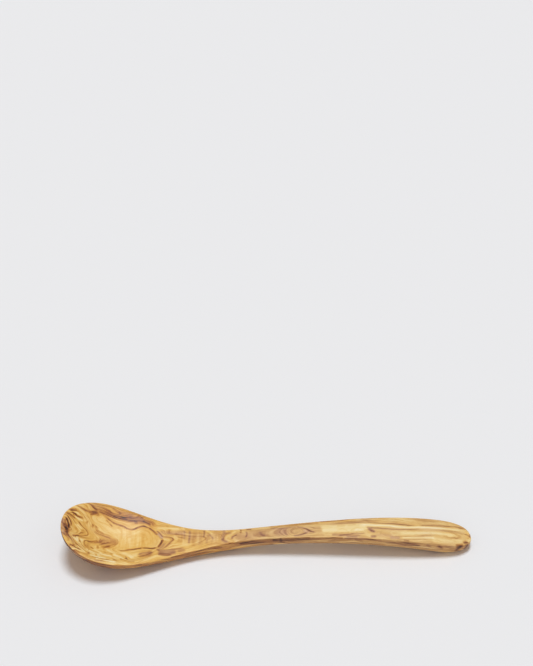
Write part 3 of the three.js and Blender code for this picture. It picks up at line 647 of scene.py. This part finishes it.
figureSettings = {
    "linePower": 2,  # how flat a mark is before it fades at its half-width
    "patchPower": 3,
    "calmPower": 4,
    "reach": 3,  # half-widths past which a mark is too faint to count
    "runOut": 0.125,  # share of its length over which a line runs out at each end
    "endStrength": 0.3,
    "topFade": 2.0,  # millimetres below the rim over which the marks on top, and its calm, fade
    "calmFade": 1.5,
    "sideStart": 0.02,  # millimetres below the rim where the side streaks start
    "sideFade": 0.4,
    "topCalm": 0.5,  # the fine lines are fainter on top than on the sides
    "stretch": 0.6,  # rings reach further along the spoon than across it
    "easing": 2.0,  # lets a ring pass a little beside its line
    "drop": 1.1,  # rings for each millimetre down the sides
    "batches": 40,  # the rings are worked out in this many parts, to save memory
}


def ringField(points):
    settings = figureSettings
    shape = np.array([settings["stretch"], 1.0])
    known = [(mark[0], place) for mark in grainLines.values() if mark[0] is not None for place in mark[-1]]
    known += [(ring, place) for ring, places in ringAnchors.values() for place in places]
    values = np.array([ring for ring, place in known], float)
    spots = np.array([place for ring, place in known], float) * shape

    def plate(where):  # the bend of a thin plate; the last term keeps the logarithm finite
        squared = ((where[:, None] - spots[None]) ** 2).sum(2)
        return 0.5 * squared * np.log(squared + 1e-9)

    count = len(spots)
    flat = np.c_[np.ones(count), spots]
    system = np.zeros((count + 3, count + 3))
    system[:count, :count] = plate(spots) + settings["easing"] * np.eye(count)
    system[:count, count:] = flat
    system[count:, :count] = flat.T
    weights = np.linalg.solve(system, np.r_[values, np.zeros(3)])
    rings = np.empty(len(points))
    for part in np.array_split(np.arange(len(points)), settings["batches"]):
        where = points[part] * shape
        rings[part] = plate(where) @ weights[:count] + np.c_[np.ones(len(part)), where] @ weights[count:]
    return rings


def drawFigure(mesh):
    settings = figureSettings
    count = len(mesh.vertices)
    place = np.empty(count * 3)
    mesh.vertices.foreach_get("co", place)
    points = place.reshape(-1, 3)[:, :2] * 1000  # millimetres
    fall = np.empty(count)
    mesh.attributes["fall"].data.foreach_get("value", fall)
    fall *= 1000  # millimetres
    figure = {name: np.zeros(count) for name in ("dark", "hue", "curl", "calm")}

    marks = [(settings["linePower"], dark, hue, 0, width, places)
             for ring, dark, hue, width, places in grainLines.values()]
    marks += [(settings["patchPower"], *patch) for patch in colourAndPaintedLightPatches.values()]
    for power, dark, hue, curl, width, places in marks:
        line = roundedLine(places)
        margin = settings["reach"] * width
        inside = ((points > line.min(0) - margin) & (points < line.max(0) + margin)).all(1)
        gap, passed = lineDistance(points[inside], line)
        strength = np.exp(-(gap / width) ** power - fall[inside] / settings["topFade"])
        if power == settings["linePower"]:
            fromEnd = np.minimum(passed, 1 - passed) / settings["runOut"]
            strength *= np.clip(fromEnd, settings["endStrength"], 1)
        for name, amount in (("dark", dark), ("hue", hue), ("curl", curl)):
            figure[name][inside] += amount * strength
    for amount, width, places in calmPlaces.values():
        gap, _ = lineDistance(points, roundedLine(places))
        spread = (gap / width) ** settings["calmPower"]
        figure["calm"] += amount * np.exp(-spread - fall / settings["topFade"])
    figure["calm"] += settings["topCalm"] * np.exp(-fall / settings["calmFade"])
    flank = np.c_[points[:, 0], fall]
    onSide = (points[:, 1] < 0) & (fall > settings["sideStart"])
    # grain streaks on the near side, and painted shade along its edge and over the tip
    for dark, hue, width, places in sideStreaksAndShade.values():
        gap, _ = lineDistance(flank[onSide], roundedLine(places))
        spread = (gap / width) ** settings["linePower"]
        strength = np.exp(-spread) * np.clip(fall[onSide] / settings["sideFade"], 0, 1)
        figure["dark"][onSide] += dark * strength
        figure["hue"][onSide] += hue * strength
    figure["ring"] = ringField(points) - settings["drop"] * fall
    for name, values in figure.items():
        mesh.attributes.new(name, "FLOAT", "POINT").data.foreach_set("value", values)
    print("figure drawn,", len(marks), "marks")


# Olive wood, carved, sanded and oiled: streaks of gold, tan and plum brown that follow the rings,
# thin dark threads between them, short fibres along the grain and a low satin gloss
woodLook = {
    "gold": [(-0.6, "#f8e7b8"), (-0.25, "#f0cf88"), (0, "#e3b35b"), (0.25, "#c99045"), (0.5, "#a66830"),
             (0.75, "#78462a"), (1, "#3e2010")],
    "straw": [(-0.6, "#f5e7c7"), (-0.25, "#ebd398"), (0, "#dab478"), (0.25, "#bc905d"), (0.5, "#9a6c46"),
              (0.75, "#72492a"), (1, "#3c2010")],
    "plum": [(-0.6, "#f2ddc3"), (-0.25, "#e3c19a"), (0, "#d1a67e"), (0.25, "#b98b66"), (0.5, "#99684c"),
             (0.75, "#724832"), (1, "#3c2014")],
    "amber": [(-0.6, "#f6e2a4"), (-0.25, "#f0c877"), (0, "#dfa647"), (0.25, "#c88a34"), (0.5, "#a26024"),
              (0.75, "#70391a"), (1, "#381a0c")],
    "strawFrom": -34.0,  # the bowl is gold, and the handle turns to straw between these places, millimetres
    "strawFull": -4.0,
    "strawShare": 0.7,
    "base": -0.05,  # how dark plain wood is
    "swayLength": 9.0,  # the rings sway and quiver over these lengths, millimetres, by so many rings
    "swayRings": 1.6,
    "quiverLength": 2.5,
    "quiverRings": 0.5,
    "streakWidth": 2.2,  # millimetres across the grain
    "fineWidth": 0.8,
    "threadWidth": 0.6,
    "streakLength": 24.0,
    "fineLength": 18.0,
    "threadLength": 14.0,
    "rippleWidth": 2.4,
    "rippleLength": 16.0,
    "rippleHeight": 20.0,
    "fibreWidth": 0.35,  # real fibres are finer: this is as fine as shows
    "fibreLength": 5.0,
    "detail": {"sway": 2.0, "quiver": 1.0, "streak": 2.0, "fine": 2.0, "thread": 1.0, "ripple": 1.0,
               "fibre": 2.0, "hue": 2.0},
    "streakRange": (0.34, 0.66),  # levels of the noise that become palest and darkest
    "fineRange": (0.36, 0.64),
    "threadRange": (0.0, 1.0),
    "rippleRange": (0.36, 0.64),
    "fibreRange": (0.32, 0.68),
    "threadStart": 0.1,  # a thread shows from here and is full there
    "threadFull": 0.36,
    "brokenBy": 0.3,  # how much the fine streaks break up what is drawn
    "streakDepth": 0.2,  # how much darker or lighter each pattern makes the wood
    "fineDepth": 0.2,
    "threadDepth": 0.4,
    "fibreDepth": 0.06,
    "rippleDepth": 0.2,
    "sideStart": 0.1,  # the sides darken between these depths below the rim, millimetres: partly their darker edge grain, partly painted shade on the sides
    "sideDepth": 1.2,
    "bowlSideGrainAndShade": 0.35,
    "handleSideGrainAndShade": 0.18,
    "hueLength": 14.0,  # the hue wanders over this length, millimetres
    "hueAmount": 0.8,
    "glossRange": (0.3, 0.7),  # levels of the fibres that become glossiest and dullest
    "roughness": (0.42, 0.54),
    "reliefStrength": 0.25,
    "reliefDepth": 0.05,  # millimetres
    "ior": 1.47,
}


def oliveWood():
    look = woodLook
    wood = bpy.data.materials.new("oliveWoodOiled")
    wood.use_nodes = True
    wood.node_tree.nodes.clear()
    add = partial(addNode, wood.node_tree)
    drawn = {name: add("ShaderNodeAttribute", attribute_name=name).outputs["Fac"]
             for name in ("dark", "hue", "curl", "calm", "ring", "fall")}
    metres = add("ShaderNodeTexCoord").outputs["Object"]
    place = add("ShaderNodeVectorMath", {"Vector": metres, "Scale": 1000.0},
                operation="SCALE").outputs["Vector"]  # millimetres
    axis = add("ShaderNodeSeparateXYZ", (place,)).outputs

    # Streaks and threads: noise that is long along the rings and narrow across them
    detail = look["detail"]
    ring = drawn["ring"]
    for name in ("sway", "quiver"):
        bend = add("ShaderNodeTexNoise", {"Vector": place, "Scale": 1 / look[name + "Length"],
                                          "Detail": detail[name]})
        ring = add("ShaderNodeMath", (bend, look[name + "Rings"], ring), operation="MULTIPLY_ADD")
    level = {}
    for name in ("streak", "fine", "thread"):
        across = add("ShaderNodeMath", (ring, 1 / look[name + "Width"]), operation="MULTIPLY")
        longX = add("ShaderNodeMath", (axis["X"], 1 / look[name + "Length"]), operation="MULTIPLY")
        longY = add("ShaderNodeMath", (axis["Y"], 1 / look[name + "Length"]), operation="MULTIPLY")
        grain = add("ShaderNodeCombineXYZ", (across, longX, longY))
        pattern = add("ShaderNodeTexNoise", {"Vector": grain, "Scale": 1.0, "Detail": detail[name]})
        level[name] = add("ShaderNodeMapRange", (pattern, *look[name + "Range"], -1.0, 1.0))
    level["thread"] = add("ShaderNodeMapRange", (level["thread"], look["threadStart"], look["threadFull"],
                                                 0.0, 1.0), interpolation_type="SMOOTHSTEP")

    # Ripples across the grain, and short fibres along it
    sizes = {"ripple": (look["rippleWidth"], look["rippleLength"], look["rippleHeight"]),
             "fibre": (look["fibreLength"], look["fibreWidth"], look["fibreWidth"])}
    noise = {}
    for name, size in sizes.items():
        scaled = add("ShaderNodeVectorMath", (place, [1 / s for s in size]), operation="MULTIPLY")
        noise[name] = add("ShaderNodeTexNoise", {"Vector": scaled, "Scale": 1.0, "Detail": detail[name]})
        level[name] = add("ShaderNodeMapRange", (noise[name], *look[name + "Range"], -1.0, 1.0))

    # How dark each place is: what is drawn, broken up by the streaks, and then the patterns themselves
    broken = add("ShaderNodeMath", (level["fine"], look["brokenBy"], 1.0), operation="MULTIPLY_ADD")
    drawnDark = add("ShaderNodeMath", (drawn["dark"], broken), operation="MULTIPLY")
    grained = add("ShaderNodeMath", (level["streak"], look["streakDepth"]), operation="MULTIPLY")
    for name in ("fine", "thread"):
        grained = add("ShaderNodeMath", (level[name], look[name + "Depth"], grained),
                      operation="MULTIPLY_ADD")
    busy = add("ShaderNodeMath", (1.0, drawn["calm"]), operation="SUBTRACT")
    dark = add("ShaderNodeMath", (grained, busy, drawnDark), operation="MULTIPLY_ADD")
    dark = add("ShaderNodeMath", (level["fibre"], look["fibreDepth"], dark), operation="MULTIPLY_ADD")
    curled = add("ShaderNodeMath", (level["ripple"], drawn["curl"]), operation="MULTIPLY")
    dark = add("ShaderNodeMath", (curled, look["rippleDepth"], dark), operation="MULTIPLY_ADD")
    handle = add("ShaderNodeMapRange", (axis["X"], look["strawFrom"], look["strawFull"], 0.0, 1.0),
                 interpolation_type="SMOOTHSTEP")
    # painted shade: the sides darken below the rim, partly for their edge grain and partly standing in for
    # the shade that falls on them
    sideGrainAndShade = add("ShaderNodeMix", {"Factor": handle, "A": look["base"] + look["bowlSideGrainAndShade"],
                                     "B": look["base"] + look["handleSideGrainAndShade"]}, data_type="FLOAT")
    side = add("ShaderNodeMapRange", (drawn["fall"], mm(look["sideStart"]), mm(look["sideDepth"]),
                                      look["base"], sideGrainAndShade))
    dark = add("ShaderNodeMath", (dark, side), operation="ADD")
    palest = look["gold"][0][0]
    darkest = look["gold"][-1][0]
    tone = add("ShaderNodeMapRange", (dark, palest, darkest, 0.0, 1.0))

    # Four scales of colour: gold to straw along the spoon, then plum and amber by hue
    scales = {}
    for name in ("gold", "straw", "plum", "amber"):
        scales[name] = add("ShaderNodeValToRGB", (tone,))
        stops = scales[name].color_ramp.elements
        while len(stops) < len(look[name]):
            stops.new(0.5)
        for stop, (depth, code) in zip(stops, look[name]):
            stop.position = (depth - palest) / (darkest - palest)
            stop.color = colour(code)
    hueNoise = add("ShaderNodeTexNoise", {"Vector": place, "Scale": 1 / look["hueLength"],
                                          "Detail": detail["hue"]})
    hueLevel = add("ShaderNodeMath", (hueNoise, 0.5), operation="SUBTRACT")  # both ways from its middle
    hue = add("ShaderNodeMath", (hueLevel, look["hueAmount"], drawn["hue"]), operation="MULTIPLY_ADD")
    amberShare = add("ShaderNodeMath", (hue, -1.0), operation="MULTIPLY")
    straw = add("ShaderNodeMath", (handle, look["strawShare"]), operation="MULTIPLY")
    plain = add("ShaderNodeMix", {"Factor": straw, "A": scales["gold"], "B": scales["straw"]},
                data_type="RGBA")
    warm = add("ShaderNodeMix", {"Factor": hue, "A": plain, "B": scales["plum"]}, data_type="RGBA")
    paint = add("ShaderNodeMix", {"Factor": amberShare, "A": warm, "B": scales["amber"]}, data_type="RGBA")

    roughness = add("ShaderNodeMapRange", (noise["fibre"], *look["glossRange"], *look["roughness"]))
    relief = add("ShaderNodeBump", {"Strength": look["reliefStrength"], "Distance": mm(look["reliefDepth"]),
                                    "Height": noise["fibre"]})
    surface = add("ShaderNodeBsdfPrincipled", {"Base Color": paint, "Roughness": roughness,
                                               "IOR": look["ior"], "Normal": relief})
    add("ShaderNodeOutputMaterial", {"Surface": surface})
    return wood


# The table is uncoated paper: flat, pale and without gloss, lit evenly
stageLook = {
    "table": "#eaeaec",
    "tableHalfWidth": 8.0,  # metres
    "sunAngle": 20.0,  # degrees across
    "sunTilt": 4.0,  # degrees from overhead, from behind the spoon
    "sunStrength": 2.085,
    "sunColour": "#ebf7ff",
    "skyStrength": 0.45,
    "skyColour": "#ffeee0",
    "skyFront": 0.5,  # how much brighter the sky is on the camera's side
    "roomStrength": 0.35,  # what the gloss of the wood mirrors
}


def setStage():
    half = stageLook["tableHalfWidth"]
    pale = colour(stageLook["table"])
    mesh = bpy.data.meshes.new("table")
    corners = [(-half, -half, 0), (half, -half, 0), (half, half, 0), (-half, half, 0)]
    mesh.from_pydata(corners, [], [(0, 1, 2, 3)])
    table = bpy.data.objects.new("table", mesh)
    bpy.context.collection.objects.link(table)
    paper = bpy.data.materials.new("matPaper")
    paper.use_nodes = True
    paper.node_tree.nodes.clear()
    add = partial(addNode, paper.node_tree)
    sheet = add("ShaderNodeBsdfDiffuse", {"Color": pale})
    add("ShaderNodeOutputMaterial", {"Surface": sheet})
    mesh.materials.append(paper)

    lamp = bpy.data.lights.new("softLight", "SUN")
    lamp.energy = stageLook["sunStrength"]
    lamp.angle = math.radians(stageLook["sunAngle"])
    lamp.color = colour(stageLook["sunColour"])[:3]
    sun = bpy.data.objects.new("softLight", lamp)
    sun.rotation_euler = (-math.radians(stageLook["sunTilt"]), 0, 0)
    bpy.context.collection.objects.link(sun)

    world = bpy.data.worlds.new("studio")
    world.use_nodes = True
    world.node_tree.nodes.clear()
    add = partial(addNode, world.node_tree)
    path = add("ShaderNodeLightPath").outputs
    toward = add("ShaderNodeSeparateXYZ", (add("ShaderNodeTexCoord").outputs["Generated"],)).outputs
    lean = add("ShaderNodeMath", (toward["Y"], -stageLook["skyFront"], 1.0), operation="MULTIPLY_ADD")
    strength = add("ShaderNodeMath", (lean, stageLook["skyStrength"]), operation="MULTIPLY")
    lit = add("ShaderNodeBackground", {"Color": colour(stageLook["skyColour"]), "Strength": strength})
    seen = add("ShaderNodeBackground", {"Color": pale, "Strength": 1.0})
    room = add("ShaderNodeBackground", {"Color": pale, "Strength": stageLook["roomStrength"]})
    plain = add("ShaderNodeMath", (path["Is Camera Ray"], path["Is Transmission Ray"]), operation="MAXIMUM")
    mirrored = add("ShaderNodeMixShader", (path["Is Glossy Ray"], lit, room))
    sky = add("ShaderNodeMixShader", (plain, mirrored, seen))
    add("ShaderNodeOutputWorld", {"Surface": sky})
    bpy.context.scene.world = world
    print("stage set")


# The camera looks down at the spoon, which lies low in a tall picture
cameraView = {
    "lens": 85.0,
    "sensor": 36.0,
    "target": (0.0, 0.0, 8.0),  # millimetres
    "targetPixel": (267.63, 540.36),
    "picture": (533, 666),
    "elevation": 45.0,
    "turn": -1.73,
    "distance": 1165.6,  # millimetres
}


def setCamera():
    view = cameraView
    data = bpy.data.cameras.new("camera")
    data.lens = view["lens"]
    data.sensor_width = view["sensor"]
    camera = bpy.data.objects.new("camera", data)
    wide, tall = view["picture"]
    focal = tall * view["lens"] / view["sensor"]  # in pixels
    rise = math.radians(view["elevation"])
    turn = math.radians(view["turn"])
    drop = math.atan((view["targetPixel"][1] - tall / 2) / focal)
    shift = math.atan((view["targetPixel"][0] - wide / 2) / focal)
    far = mm(view["distance"])
    back = Vector((math.sin(turn) * math.cos(rise), -math.cos(turn) * math.cos(rise), math.sin(rise)))
    right = Vector((math.cos(turn), math.sin(turn), 0))
    camera.location = Vector([mm(v) for v in view["target"]]) + far * back - far * math.tan(shift) * right
    camera.rotation_euler = (math.pi / 2 - rise + drop, 0, turn)
    bpy.context.collection.objects.link(camera)
    bpy.context.scene.camera = camera
    print("camera set")


bpy.context.scene.view_settings.view_transform = "Standard"
setCamera()
setStage()
spoon = carveSpoon(oliveWood())
drawFigure(spoon.data)
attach(spoon, "root")
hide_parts("carved_spoon")
